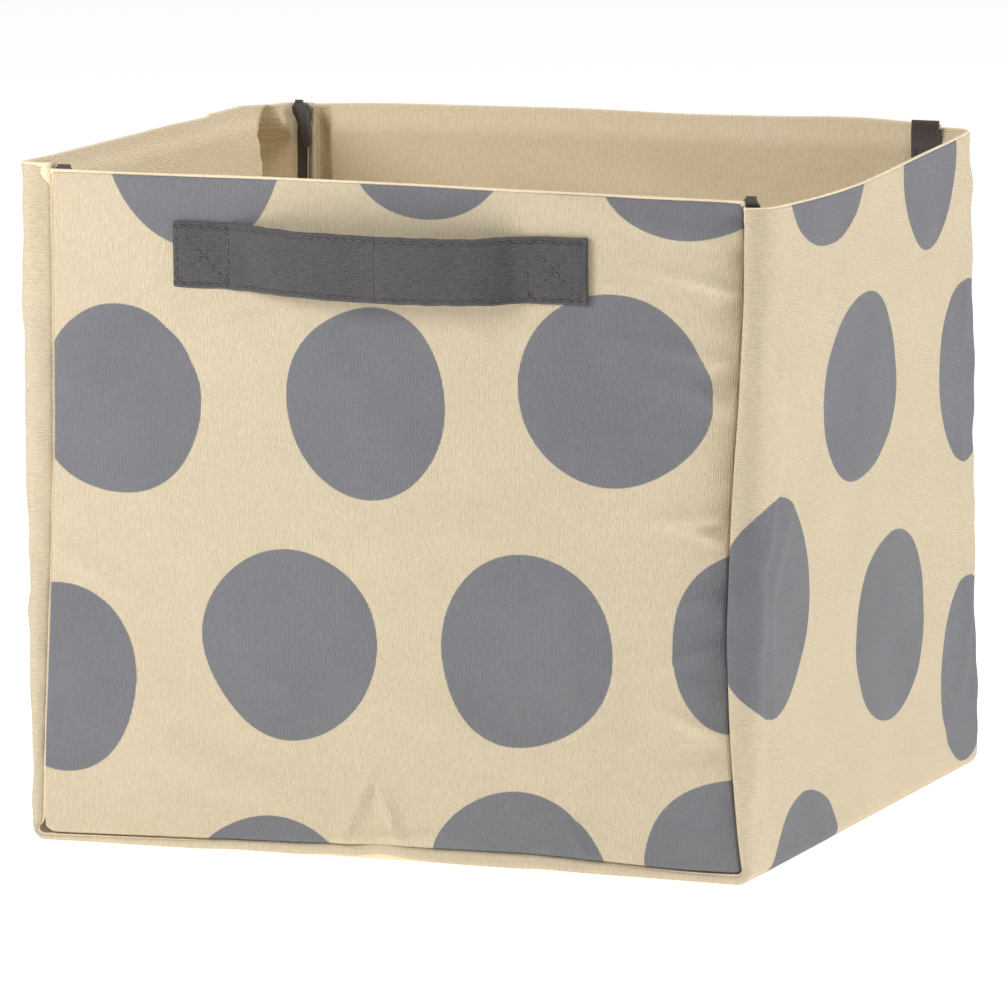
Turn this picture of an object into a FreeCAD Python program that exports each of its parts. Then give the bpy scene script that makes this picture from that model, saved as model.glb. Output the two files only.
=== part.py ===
import FreeCAD, Part
import math
import os

# Fabric storage bin, in millimetres. Four board-stiffened cloth walls and a cloth base are sewn
# together, a loose covered board stiffens the base, and one cloth strap handle is on the front.
# +X is to the right of the front panel, +Y to the back and +Z up.
# The origin is the centre of the base's underside, on the surface that the bin stands on.

# Overall size
WIDTH = 330.0
DEPTH = 290.0
HEIGHT = 287.0
CORNER_RADIUS = 6.0

# Layers of a wall, from outside to inside
CLOTH = 0.8
BOARD = 2.2
LINING = 0.8

# How the walls are cut
SEAM_SETBACK = 11.0        # the side cloth turns the corner and runs this far onto the front
BASE_LIP = 5.0             # the base cloth turns up this far under the front and back panels
SIDE_BOARD_SETBACK = 27.0  # the side walls are soft for this far from the front and back
BOARD_TOP_GAP = 9.0        # the boards stop short of the rim and of the bottom seams
BOARD_FOOT_GAP = 7.4
FRONT_BOARD_SETBACK = 16.0

# Tape that binds the seam allowances inside the bin
TAPE_WIDTH = 11.0
TAPE_THICKNESS = 1.6
TAPE_PROUD = 1.5           # the tape ends stand this far above the rim
TAPE_STITCH_INSET = 3.0

# Loose stiffened base
INSERT_BOARD = 3.0
INSERT_CLOTH = 0.8
INSERT_CLEARANCE = 1.0

# Strap handle on the front panel
STRAP_LEFT = -94.0
STRAP_RIGHT = 93.0
STRAP_HEIGHT = 28.0
STRAP_THICKNESS = 2.0
STRAP_DROP = 18.5          # from the rim to the strap's upper edge
SPAN_LEFT = -36.0          # the middle of the strap, which swings
SPAN_RIGHT = 44.0
SPAN_GAP = 0.4
BOX_STITCH = 24.0          # the crossed square that holds each end
STITCH_MARGIN = 2.5
EDGE_STITCH_INSET = 2.0
THREAD_WIDTH = 0.8
THREAD_PROUD = 0.4

# Worked out from the sizes above
HALF_X = WIDTH / 2
HALF_Y = DEPTH / 2
WALL = CLOTH + BOARD + LINING
ROOM_X = HALF_X - WALL
ROOM_Y = HALF_Y - WALL
SEAM_X = HALF_X - SEAM_SETBACK
SHELL_TOP = HEIGHT - LINING
FLOOR_TOP = CLOTH + LINING
STRAP_TOP = HEIGHT - STRAP_DROP
STRAP_FOOT = STRAP_TOP - STRAP_HEIGHT
LEFT_SEWN = STRAP_LEFT + STITCH_MARGIN + BOX_STITCH
RIGHT_SEWN = STRAP_RIGHT - STITCH_MARGIN - BOX_STITCH

# How far the strap's inner face stands off the front panel between its sewn ends
STRAP_BOW = [
    (LEFT_SEWN, 0.0),
    (-58.0, 2.6),
    (-47.0, 7.6),
    (SPAN_LEFT, 11.2),
    (-14.0, 13.4),
    (8.0, 13.6),
    (28.0, 12.6),
    (SPAN_RIGHT, 10.2),
    (55.0, 4.6),
    (RIGHT_SEWN, 0.0),
]

FAR = 2 * WIDTH            # reaches past the bin on every side


def block(low, high):
    size = [b - a for a, b in zip(low, high)]
    return Part.makeBox(*size, FreeCAD.Vector(*low))


def slab(half_x, half_y, radius, foot, top):
    """A rectangle with rounded corners about the origin, between two heights."""
    plain = block((-half_x, -half_y, foot), (half_x, half_y, top))
    upright = [e for e in plain.Edges if abs(e.BoundBox.ZLength - (top - foot)) < 1e-6]
    return plain.makeFillet(radius, upright)


def shell_ring(foot, top):
    """The skin of outer cloth all round the bin, between two heights."""
    outside = slab(HALF_X, HALF_Y, CORNER_RADIUS, foot, top)
    inside = slab(HALF_X - CLOTH, HALF_Y - CLOTH, CORNER_RADIUS - CLOTH, foot, top)
    return outside.cut(inside)


def side_part(shape):
    """What lies left of the left seam line."""
    return shape.common(block((-FAR, -FAR, -FAR), (-SEAM_X, FAR, FAR)))


def front_part(shape):
    """What lies between the two seam lines, in the front half."""
    return shape.common(block((-SEAM_X, -FAR, -FAR), (SEAM_X, 0, FAR)))


def to_back(shape):
    return shape.mirror(FreeCAD.Vector(0, 0, 0), FreeCAD.Vector(0, 1, 0))


def to_right(shape):
    return shape.mirror(FreeCAD.Vector(0, 0, 0), FreeCAD.Vector(1, 0, 0))


def rim_cap():
    """The lining turned over the top edge of all four walls."""
    outside = slab(HALF_X, HALF_Y, CORNER_RADIUS, SHELL_TOP, HEIGHT)
    return outside.cut(block((-ROOM_X, -ROOM_Y, 0), (ROOM_X, ROOM_Y, FAR)))


def base_cover():
    floor = slab(HALF_X, HALF_Y, CORNER_RADIUS, 0, CLOTH)
    front_lip = front_part(shell_ring(CLOTH, BASE_LIP))
    return floor.fuse([front_lip, to_back(front_lip)]).removeSplitter()


def base_lining():
    return slab(HALF_X - CLOTH, HALF_Y - CLOTH, CORNER_RADIUS - CLOTH, CLOTH, FLOOR_TOP)


def front_cover():
    return front_part(shell_ring(BASE_LIP, SHELL_TOP))


def left_side_cover():
    return side_part(shell_ring(CLOTH, SHELL_TOP))


def front_lining():
    sheet = block((-ROOM_X, -ROOM_Y - LINING, FLOOR_TOP), (ROOM_X, -ROOM_Y, SHELL_TOP))
    return sheet.fuse(front_part(rim_cap())).removeSplitter()


def left_lining():
    low = (-ROOM_X - LINING, -ROOM_Y - LINING, FLOOR_TOP)
    high = (-ROOM_X, ROOM_Y + LINING, SHELL_TOP)
    return block(low, high).fuse(side_part(rim_cap())).removeSplitter()


def front_board():
    half = HALF_X - FRONT_BOARD_SETBACK
    low = (-half, -HALF_Y + CLOTH, FLOOR_TOP + BOARD_FOOT_GAP)
    return block(low, (half, -ROOM_Y - LINING, SHELL_TOP - BOARD_TOP_GAP))


def left_board():
    half = HALF_Y - SIDE_BOARD_SETBACK
    low = (-HALF_X + CLOTH, -half, FLOOR_TOP + BOARD_FOOT_GAP)
    return block(low, (-ROOM_X - LINING, half, SHELL_TOP - BOARD_TOP_GAP))


def u_frame(inset, width, near, depth, top):
    """An upright U against the front lining: down one seam, along the bottom seam, up the other.

    inset is from the seam lines, near is from the front lining."""
    reach = SEAM_X - inset
    foot = BASE_LIP + inset
    front = -ROOM_Y + near
    outer = block((-reach, front, foot), (reach, front + depth, top))
    inner = block((width - reach, -FAR, foot + width), (reach - width, FAR, FAR))
    return outer.cut(inner)


def front_seam_binding():
    return u_frame(0, TAPE_WIDTH, 0, TAPE_THICKNESS, HEIGHT + TAPE_PROUD)


def front_seam_stitching():
    return u_frame(TAPE_WIDTH - TAPE_STITCH_INSET, THREAD_WIDTH, TAPE_THICKNESS, THREAD_PROUD,
                   HEIGHT - TAPE_STITCH_INSET)


def insert_layers():
    """The loose base: a board between two sheets, the upper one turned down round its edge."""
    half_x = ROOM_X - INSERT_CLEARANCE
    half_y = ROOM_Y - TAPE_THICKNESS - INSERT_CLEARANCE
    levels = [FLOOR_TOP]
    for thickness in (INSERT_CLOTH, INSERT_BOARD, INSERT_CLOTH):
        levels.append(levels[-1] + thickness)
    sheet = block((-half_x, -half_y, levels[0]), (half_x, half_y, levels[1]))
    inner_x = half_x - INSERT_CLOTH
    inner_y = half_y - INSERT_CLOTH
    board = block((-inner_x, -inner_y, levels[1]), (inner_x, inner_y, levels[2]))
    cover = block((-half_x, -half_y, levels[1]), (half_x, half_y, levels[3])).cut(board)
    return {"insert_bottom_cover": sheet, "insert_board": board, "insert_top_cover": cover}


def offset_spline(curve, distance):
    """The spline that runs a fixed distance in front of another in the horizontal plane."""
    points = []
    for knot in curve.getKnots():
        along = curve.tangent(knot)[0]
        across = FreeCAD.Vector(along.y, -along.x, 0)
        points.append(curve.value(knot) + across * distance)
    ends = {"InitialTangent": FreeCAD.Vector(1, 0, 0), "FinalTangent": FreeCAD.Vector(1, 0, 0)}
    spline = Part.BSplineCurve()
    spline.interpolate(Points=points, **ends)
    return spline


def bowed_band(near, far, foot, top):
    """The free part of the strap, as a band between two distances from its inner face."""
    points = [FreeCAD.Vector(x, -HALF_Y - bow, foot) for x, bow in STRAP_BOW]
    ends = {"InitialTangent": FreeCAD.Vector(1, 0, 0), "FinalTangent": FreeCAD.Vector(1, 0, 0)}
    inner_face = Part.BSplineCurve()
    inner_face.interpolate(Points=points, **ends)
    sides = [offset_spline(inner_face, distance) for distance in (near, far)]
    starts = [side.StartPoint for side in sides]
    finishes = [side.EndPoint for side in sides]
    edges = [
        sides[0].toShape(),
        Part.LineSegment(finishes[0], finishes[1]).toShape(),
        sides[1].toShape(),
        Part.LineSegment(starts[1], starts[0]).toShape(),
    ]
    outline = Part.Wire(Part.__sortEdges__(edges))
    return Part.Face(outline).extrude(FreeCAD.Vector(0, 0, top - foot))


def between(shape, left, right):
    return shape.common(block((left, -FAR, -FAR), (right, FAR, FAR)))


def strap_end(left, right):
    face = -HALF_Y - STRAP_THICKNESS
    return block((left, face, STRAP_FOOT), (right, -HALF_Y, STRAP_TOP))


def thread(start, finish):
    """A raised line of thread on a sewn end of the strap, between two (x, z) points."""
    across = finish[0] - start[0]
    up = finish[1] - start[1]
    half = THREAD_WIDTH / 2
    face = -HALF_Y - STRAP_THICKNESS
    line = block((0, face - THREAD_PROUD, -half), (math.hypot(across, up), face, half))
    turn = FreeCAD.Rotation(FreeCAD.Vector(0, 1, 0), -math.degrees(math.atan2(up, across)))
    line.Placement = FreeCAD.Placement(FreeCAD.Vector(start[0], 0, start[1]), turn)
    return line


def box_stitch(left):
    """A square of thread crossed corner to corner."""
    right = left + BOX_STITCH
    middle = (STRAP_TOP + STRAP_FOOT) / 2
    foot = middle - BOX_STITCH / 2
    top = middle + BOX_STITCH / 2
    corners = [(left, foot), (right, foot), (right, top), (left, top)]
    lines = [thread(corners[i], corners[(i + 1) % len(corners)]) for i in range(len(corners))]
    lines.append(thread(corners[0], corners[2]))
    lines.append(thread(corners[1], corners[3]))
    return lines[0].fuse(lines[1:]).removeSplitter()


def edge_stitches(left, right):
    """The two rows of thread along the free part of the strap, between two places across."""
    rows = []
    for middle in (STRAP_FOOT + EDGE_STITCH_INSET, STRAP_TOP - EDGE_STITCH_INSET):
        foot = middle - THREAD_WIDTH / 2
        row = bowed_band(STRAP_THICKNESS, STRAP_THICKNESS + THREAD_PROUD, foot, foot + THREAD_WIDTH)
        rows.append(between(row, left, right))
    return rows


def handle():
    band = bowed_band(0, STRAP_THICKNESS, STRAP_FOOT, STRAP_TOP)
    ramp_end = SPAN_LEFT - SPAN_GAP
    ramp_start = SPAN_RIGHT + SPAN_GAP
    clear = THREAD_WIDTH / 2
    left_rows = edge_stitches(LEFT_SEWN + clear, ramp_end)
    right_rows = edge_stitches(ramp_start, RIGHT_SEWN - clear)
    left_box = box_stitch(STRAP_LEFT + STITCH_MARGIN)
    right_box = box_stitch(RIGHT_SEWN)
    return {
        "handle_left_end": strap_end(STRAP_LEFT, LEFT_SEWN),
        "handle_left_ramp": between(band, LEFT_SEWN, ramp_end),
        "handle_span": between(band, SPAN_LEFT, SPAN_RIGHT),
        "handle_right_ramp": between(band, ramp_start, RIGHT_SEWN),
        "handle_right_end": strap_end(RIGHT_SEWN, STRAP_RIGHT),
        "handle_left_stitching": Part.makeCompound([left_box] + left_rows),
        "handle_right_stitching": Part.makeCompound([right_box] + right_rows),
        "handle_span_stitching": Part.makeCompound(edge_stitches(SPAN_LEFT, SPAN_RIGHT)),
    }


def bin_parts():
    parts = {"base_cover": base_cover(), "base_lining": base_lining()}
    for make in (front_cover, front_lining, front_board, front_seam_binding, front_seam_stitching):
        name = make.__name__
        parts[name] = make()
        parts[name.replace("front", "back")] = to_back(parts[name])
    for make in (left_side_cover, left_lining, left_board):
        name = make.__name__
        parts[name] = make()
        parts[name.replace("left", "right")] = to_right(parts[name])
    parts.update(insert_layers())
    parts.update(handle())
    return parts


os.makedirs("parts", exist_ok=True)
for node, shape in bin_parts().items():
    solids = len(shape.Solids)
    if not shape.isValid() or solids == 0:
        raise ValueError(node + " is not a sound solid")
    shape.exportStep(os.path.join("parts", node + ".step"))
    print("%-24s %3d solid(s) %10.1f mm3" % (node, solids, shape.Volume))
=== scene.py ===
import math

import bpy
import numpy as np
from mathutils import Matrix, Vector


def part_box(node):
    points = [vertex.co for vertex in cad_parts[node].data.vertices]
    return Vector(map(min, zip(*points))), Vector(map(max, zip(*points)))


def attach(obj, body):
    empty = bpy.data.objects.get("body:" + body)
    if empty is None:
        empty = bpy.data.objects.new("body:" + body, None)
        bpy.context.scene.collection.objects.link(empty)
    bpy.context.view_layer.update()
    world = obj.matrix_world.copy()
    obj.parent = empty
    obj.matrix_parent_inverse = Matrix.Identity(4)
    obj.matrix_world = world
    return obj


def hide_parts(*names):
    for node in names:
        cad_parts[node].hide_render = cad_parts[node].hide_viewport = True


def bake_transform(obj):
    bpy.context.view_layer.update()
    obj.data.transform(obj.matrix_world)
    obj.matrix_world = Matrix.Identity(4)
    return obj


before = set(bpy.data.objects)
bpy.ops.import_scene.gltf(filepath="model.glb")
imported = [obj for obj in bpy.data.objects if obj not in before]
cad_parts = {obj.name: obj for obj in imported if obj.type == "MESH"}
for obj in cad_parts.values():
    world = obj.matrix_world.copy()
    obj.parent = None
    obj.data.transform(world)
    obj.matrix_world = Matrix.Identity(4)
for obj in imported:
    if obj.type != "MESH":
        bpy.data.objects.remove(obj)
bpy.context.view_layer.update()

# A cloth storage bin. Lengths in this script are in millimetres until a mesh is written.
# Every cloth, board and lining is worked out on a square-cornered bin and then moved by settle(),
# which holds how the real bin leans and bulges, so that the layers stay nested.

MM = 0.001
HALF_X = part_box("base_cover")[1].x / MM
HALF_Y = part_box("base_cover")[1].y / MM
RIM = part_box("front_lining")[1].z / MM
STRAP_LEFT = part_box("handle_left_end")[0].x / MM
STRAP_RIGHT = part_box("handle_right_end")[1].x / MM
LEFT_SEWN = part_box("handle_left_end")[1].x / MM
RIGHT_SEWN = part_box("handle_right_end")[0].x / MM
STRAP_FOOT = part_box("handle_left_end")[0].z / MM
STRAP_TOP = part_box("handle_left_end")[1].z / MM
INSERT_LOW, INSERT_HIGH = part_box("insert_top_cover")

CLOTH = 0.7
LINING_CLOTH = CLOTH * 0.8
UV_UNIT = 100.0            # millimetres of flat cloth in one unit of its UV map
WALL = 3.8                 # outer cloth, board and lining together
RIM_WALL = 1.9             # the wall above its board
BOARD_OUT, BOARD_IN = 0.9, 3.0
SIDE_ROLL = 0.55           # the lining's turned edge that shows outside on the two side walls
FOOT_RADIUS = 7.0          # the side cloth's turn under the base


# ---------------------------------------------------------------- small tools

def stack(*parts):
    """Arrays of coordinates as one array of points."""
    return np.stack(parts, axis=-1)


def curve(points, soft):
    """A smooth function through roughly these (place, value) points."""
    places, values = np.array(points, float).T
    fine = np.linspace(places[0], places[-1], 800)
    step = fine[1] - fine[0]
    reach = max(1, int(3 * soft / step))
    kernel = np.exp(-0.5 * (np.arange(-reach, reach + 1) * step / soft) ** 2)
    rough = np.pad(np.interp(fine, places, values), reach, mode="edge")
    smooth = np.convolve(rough, kernel / kernel.sum(), "valid")
    return lambda at: np.interp(at, fine, smooth)


def step_up(at, start, end):
    """0 before start, 1 after end and smooth between."""
    share = np.clip((np.asarray(at, float) - start) / (end - start), 0, 1)
    return share * share * (3 - 2 * share)


def folds(across, up, rows):
    """Soft ridges in a sheet. Each row is centre across, centre up, direction in degrees from
    across, half length, half width and height."""
    total = np.zeros(np.broadcast(across, up).shape)
    for centre_x, centre_y, degrees, length, width, height in rows:
        turn = math.radians(degrees)
        dx, dy = across - centre_x, up - centre_y
        along = dx * math.cos(turn) + dy * math.sin(turn)
        off = dy * math.cos(turn) - dx * math.sin(turn)
        total = total + height * np.exp(-(along / length) ** 2 - (off / width) ** 2)
    return total


def unrest(across, up, size, seed):
    """Small irregular waves about as long as size, between about -1 and 1."""
    turn = np.random.default_rng(seed)
    total = np.zeros(np.broadcast(across, up).shape)
    for _ in range(9):
        angle, phase = turn.uniform(0, math.tau, 2)
        rate = math.tau / (size * turn.uniform(0.7, 1.6))
        total = total + np.sin(rate * (across * math.cos(angle) + up * math.sin(angle)) + phase)
    return total / 4.5


# ---------------------------------------------------------------- how the real bin stands

# How far each corner lies from the square bin's: (side x, side y, top or foot): (dx, dy, dz)
CORNERS = {
    (-1, -1, 0): (3.0, -6.0, 0.0),
    (1, -1, 0): (-3.2, 4.0, 0.0),
    (1, 1, 0): (-1.0, 8.0, 0.0),
    (-1, 1, 0): (0.0, 2.0, 0.0),
    (-1, -1, 1): (-1.3, 0.0, 0.0),
    (1, -1, 1): (0.0, 0.0, 0.0),
    (1, 1, 1): (0.0, 0.0, 0.0),
    (-1, 1, 1): (-1.5, 0.0, 0.0),
}
FRONT_RISE = curve([(-155, 1.2), (-110, 0.8), (-64, 1.3), (6, 0.9), (80, -0.2), (155, -1.0)], 12)
BACK_RISE = curve([(-155, 0.0), (-122, 1.4), (-21, 2.1), (29, 1.4), (75, 2.2), (104, 3.2),
                   (120, 2.9), (139, 1.4), (160, 0.4)], 8)
LEFT_RISE = curve([(-145, 3.6), (-110, 3.0), (-20, 2.8), (51, 2.9), (54, 4.1), (92, 3.9), (96, 3.6),
                   (121, 1.6), (145, 0.6)], 1.6)
RIGHT_RISE = curve([(-145, -3.6), (-95, -4.8), (-36, -5.0), (55, -4.2), (115, -2.2),
                    (145, 0.0)], 12)
PANEL_RISE = {-1: FRONT_RISE, 1: BACK_RISE}
SIDE_RISE = {-1: LEFT_RISE, 1: RIGHT_RISE}
RIGHT_BULGE = curve([(-145, 6.0), (-88, 8.5), (-36, 8.5), (10, 5.0), (55, 0.8), (115, -0.6),
                     (145, -0.9)], 14)
LEFT_BULGE = curve([(-145, 0.0), (-60, 1.0), (20, 2.0), (60, -1.0), (95, 0.4), (121, -1.6),
                    (145, -1.0)], 9)
BACK_BULGE = curve([(-150, 0.0), (-100, 1.5), (-20, 2.5), (50, 0.0), (105, -3.0), (150, 0.0)], 18)


def settle(points, rise):
    """Moves points of the square bin to where they are on the real one. rise is the rim's height
    above the square bin's at each point."""
    x, y, z = (points[..., i] for i in range(3))
    side_x = np.clip((x / HALF_X + 1) / 2, 0, 1)
    side_y = np.clip((y / HALF_Y + 1) / 2, 0, 1)
    up = np.clip(z / RIM, 0, 1.02)
    moved = np.array(points, float)
    for (sx, sy, top), shift in CORNERS.items():
        share = (side_x if sx > 0 else 1 - side_x) * (side_y if sy > 0 else 1 - side_y)
        share = share * (up if top else 1 - up)
        moved = moved + share[..., None] * np.array(shift)
    right = step_up(x, 50, 150)
    left = step_up(-x, 50, 150)
    back = step_up(y, 40, 135)
    moved[..., 0] += right * RIGHT_BULGE(y) * up ** 1.5
    moved[..., 0] -= left * LEFT_BULGE(y) * up ** 2
    moved[..., 1] += back * BACK_BULGE(x) * up ** 2
    moved[..., 2] += rise * up ** 2
    return moved


# ---------------------------------------------------------------- meshes

def link_piece(name, data):
    piece = bpy.data.objects.new(name, data)
    bpy.context.scene.collection.objects.link(piece)
    return piece


def make_piece(name, points, cloth_at, print_at=None, thick=None, flip=False, wrap=False,
               capped=False, smooth=True):
    """A piece from rows of points. cloth_at is each point's place on the flat cloth, print_at how
    far it is inside a printed dot, and thick gives the sheet a second layer further in. wrap joins
    the rows into rings. The first and last row of faces are the flat ends of a capped tube."""
    rows, columns = points.shape[:2]
    index = np.arange(rows * columns).reshape(rows, columns)
    if wrap:
        index = np.concatenate([index, index[:, :1]], axis=1)
    faces = stack(index[:-1, :-1], index[:-1, 1:], index[1:, 1:], index[1:, :-1])
    faces = faces.reshape(-1, 4)
    if flip:
        faces = faces[:, ::-1]
    mesh = bpy.data.meshes.new(name)
    mesh.from_pydata((points.reshape(-1, 3) * MM).tolist(), [], faces.tolist())
    layer = mesh.uv_layers.new(name="cloth")
    flat = cloth_at.reshape(-1, 2) / UV_UNIT
    corner = np.empty(len(mesh.loops), np.int32)
    mesh.loops.foreach_get("vertex_index", corner)
    layer.data.foreach_set("uv", flat[corner].ravel().astype(np.float32))
    if print_at is not None:
        layer = mesh.attributes.new("print_depth", "FLOAT", "POINT")
        layer.data.foreach_set("value", print_at.ravel().astype(np.float32))
    piece = link_piece(name, mesh)
    if thick:
        shell = piece.modifiers.new("thickness", "SOLIDIFY")
        shell.thickness = thick * MM
        shell.offset = -1
        shell.use_even_offset = False
        shell.use_rim = not wrap
        apply_modifiers(piece)
    ends = columns if capped else 0
    last = len(piece.data.polygons) - ends
    for number, polygon in enumerate(piece.data.polygons):
        polygon.use_smooth = smooth and ends <= number < last
    return piece


def apply_modifiers(piece):
    graph = bpy.context.evaluated_depsgraph_get()
    graph.update()
    made = bpy.data.meshes.new_from_object(piece.evaluated_get(graph))
    piece.modifiers.clear()
    piece.data = made


def cap_rows(piece_points):
    """Closes the two ends of a wrapped tube of points by drawing them to their middles."""
    first = piece_points[:1].mean(axis=1, keepdims=True)
    last = piece_points[-1:].mean(axis=1, keepdims=True)
    ring = np.ones((1, piece_points.shape[1], 1))
    return np.concatenate([first * ring, piece_points, last * ring])


def finish_piece(piece, material, slot, body, *nodes):
    """Gives a piece its material and body, and takes the place of CAD nodes. Its slot is not used.
    """
    piece.data.materials.clear()
    piece.data.materials.append(material)
    if body:
        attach(piece, body)
    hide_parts(*nodes)
    return piece


# ---------------------------------------------------------------- printed dots

# Dots on the front panel: centre across, centre up, half width, half height and a seed for the
# hand-cut look of the outline
FRONT_DOTS = [
    (-83, 296.8, 39.5, 40, 1), (22, 311.4, 37.6, 40, 2), (133, 309, 42, 40, 3),
    (-119.4, 191, 38.3, 40, 4), (-6.1, 194.5, 36.3, 40, 5), (102.3, 204.9, 41, 40.2, 6),
    (-150, 72, 37.8, 40.4, 7), (-41.9, 91.3, 39.3, 40.8, 8), (64.7, 93.7, 38.7, 40.6, 9),
    (165.5, 101.3, 37.5, 39.5, 10), (-53, -26.5, 44, 43.5, 11), (60.6, -5.5, 39.6, 40.5, 12),
    (157, 4.5, 40, 40.5, 13),
]
# Dots on the side and base cloth: across from front to back, and up the right wall from its foot.
# The base lies below 0, and the left wall below that.
STRIP_DOTS = [
    (-74.6, 307.5, 50, 41.5, 21), (77, 287.5, 39.5, 42, 22), (190, 296, 36, 40, 23),
    (-21.8, 198.1, 49.5, 41.8, 24), (127, 184.4, 35, 41, 25), (-121.5, 116.5, 39.5, 46.5, 27),
    (25.1, 85.7, 46.5, 41.7, 28), (127, 48.5, 33, 41.9, 29), (-79, -10, 44, 41, 30),
    (58, -44, 39, 40, 31), (-30, -92, 40, 39, 32), (112, -120, 39, 41, 34),
    (18, -196, 40, 39, 35), (-88, -178, 39, 40, 36), (128, -226, 38, 40, 37),
    (-45, -292, 40, 41, 38), (68, -304, 39, 39, 39), (6, -402, 40, 40, 41),
    (-96, -390, 39, 41, 42), (116, -408, 40, 39, 43), (-52, -500, 39, 40, 44),
    (62, -512, 41, 40, 45), (150, -520, 36, 40, 46), (8, -606, 40, 39, 47),
    (-100, -600, 38, 41, 48), (120, -612, 39, 40, 49),
]
BACK_DOTS = [
    (-112, 262, 39, 40, 61), (-2, 270, 40, 39, 62), (106, 258, 39, 41, 63),
    (-58, 164, 40, 40, 64), (52, 158, 38, 41, 65), (151, 166, 37, 40, 66),
    (-150, 150, 34, 39, 67), (-108, 58, 40, 39, 68), (0, 52, 39, 41, 69), (110, 62, 41, 40, 70),
    (-56, -44, 39, 40, 71), (58, -40, 40, 40, 72),
]


def print_depth(across, up, dots):
    """How far each place on the cloth lies inside the nearest dot, in millimetres."""
    best = np.full(np.broadcast(across, up).shape, -100.0)
    for centre_x, centre_y, half_x, half_y, seed in dots:
        dx, dy = across - centre_x, up - centre_y
        bearing = np.arctan2(dy, dx)
        wobble = np.random.default_rng(seed)
        radius = 1.0
        for turns, size in ((2, 0.012), (3, 0.016), (4, 0.009), (5, 0.005)):
            radius = radius + size * np.sin(turns * bearing + wobble.uniform(0, math.tau))
        out = np.hypot(dx / half_x, dy / half_y) / radius
        best = np.maximum(best, (1 - out) * (half_x + half_y) / 2)
    return best


# ---------------------------------------------------------------- front and back panels

# How far each seam is from the middle, from the foot up: (front or back, left or right)
SEAM = {
    (-1, -1): curve([(0, 158.8), (16, 158.6), (42, 157.6), (82, 155.2), (121, 153.0),
                         (172, 150.6), (232, 149.8), (290, 149.6)], 7),
    (-1, 1): curve([(0, 160.5), (6, 160.2), (17, 158.4), (33, 156.6), (60, 154.0),
                          (104, 151.4), (162, 152.2), (204, 154.0), (250, 154.8), (274, 153.8),
                          (290, 154.2)], 5),
    (1, -1): curve([(0, 159.5), (16, 158.5), (60, 155.0), (290, 152.5)], 10),
    (1, 1): curve([(0, 159.5), (16, 158.5), (60, 155.0), (200, 151.0), (290, 149.0)], 10),
}
FOOT_SEAM = curve([(-160, 3.0), (-118, 3.9), (-24, 5.8), (61, 7.2), (96, 6.0), (136, 4.4),
                   (160, 4.8)], 10)
FOOT_LIFT = curve([(-165, 0.2), (-86, 0.4), (-74, 1.1), (-36, 0.9), (-28, 1.7), (-12, 1.2),
                   (-2, 3.6), (8, 1.6), (22, 1.0), (60, 0.8), (72, 1.4), (84, 0.8), (130, 0.4),
                   (165, 0.0)], 4)

FRONT_FOLDS = [
    (146, 262, 24, 14, 2.4, 1), (141, 252, -10, 22, 2.6, 1.3), (150, 249, -14, 9, 2, 1.4),
    (149, 240, -4, 8, 2.6, -1.2), (138, 222, -8, 26, 3, 0.9), (150, 221, 24, 8, 1.8, 1.8),
    (149, 213, 8, 9, 2.4, -1.2), (144, 203, -22, 15, 3, 0.9), (140, 154, 8, 20, 3.6, 1.8),
    (147, 146, -14, 12, 2.4, 1.4), (149, 150, 0, 8, 1.8, -1), (142, 98, 22, 16, 3, 1.3),
    (148, 88, -6, 10, 2.4, -0.9), (143, 66, -18, 18, 3, 1.4), (140, 54, 6, 20, 3.4, -0.9),
    (146, 120, 16, 12, 2.6, 1), (-13, 22, 62, 17, 2.8, 2.2), (4, 19, 112, 14, 2.4, 1.7),
    (-4, 26, 84, 12, 2.2, -1.1), (-2, 10, 6, 30, 3, 1.2), (79, 15, 48, 15, 2.8, 1.5),
    (90, 12, 120, 10, 2.4, 0.9), (-122, 232, 30, 30, 4.5, 1.1), (-104, 219, 26, 34, 4.5, 0.9),
    (-84, 209, 22, 34, 5, 0.8), (-132, 208, 34, 22, 4, 0.8), (-60, 226, 16, 30, 4, 0.7),
    (-135, 120, -30, 26, 5, 0.7), (20, 140, 12, 60, 10, 0.8), (-80, 36, -14, 46, 7, 0.9),
    (84, 246, 8, 36, 5, 0.9), (118, 275, -10, 26, 4, 0.9), (30, 60, -24, 40, 8, 0.8),
    (-120, 60, 20, 30, 7, 0.6),
]


def panel_points(side, columns, rows, depth):
    """Points of a sheet at some depth in the front (side -1) or back (side 1) panel. rows are
    shares of the way from the foot seam to the rim."""
    share = np.asarray(rows, float)[:, None]
    height = share * RIM
    left, right = SEAM[side, -1](height), SEAM[side, 1](height)
    across = np.asarray(columns, float)[None, :]
    x = -left + (left + right) * (across + 1) / 2
    foot = FOOT_SEAM(x) if side < 0 else np.full_like(x, 5.0)
    foot = foot + 3.0 * np.exp(-((x + left) / 2.6) ** 2)
    z = foot + (RIM - foot) * share
    y = np.full_like(x, side * (HALF_Y - depth))
    return x, y, z


def edge_shares(count, edge, span):
    """Places from -1 to 1, closer together near both ends."""
    inner = np.linspace(-1 + edge, 1 - edge, count)
    ends = np.array(span) * edge
    return np.concatenate([-1 + ends, inner, (1 - ends)[::-1]])


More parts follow.
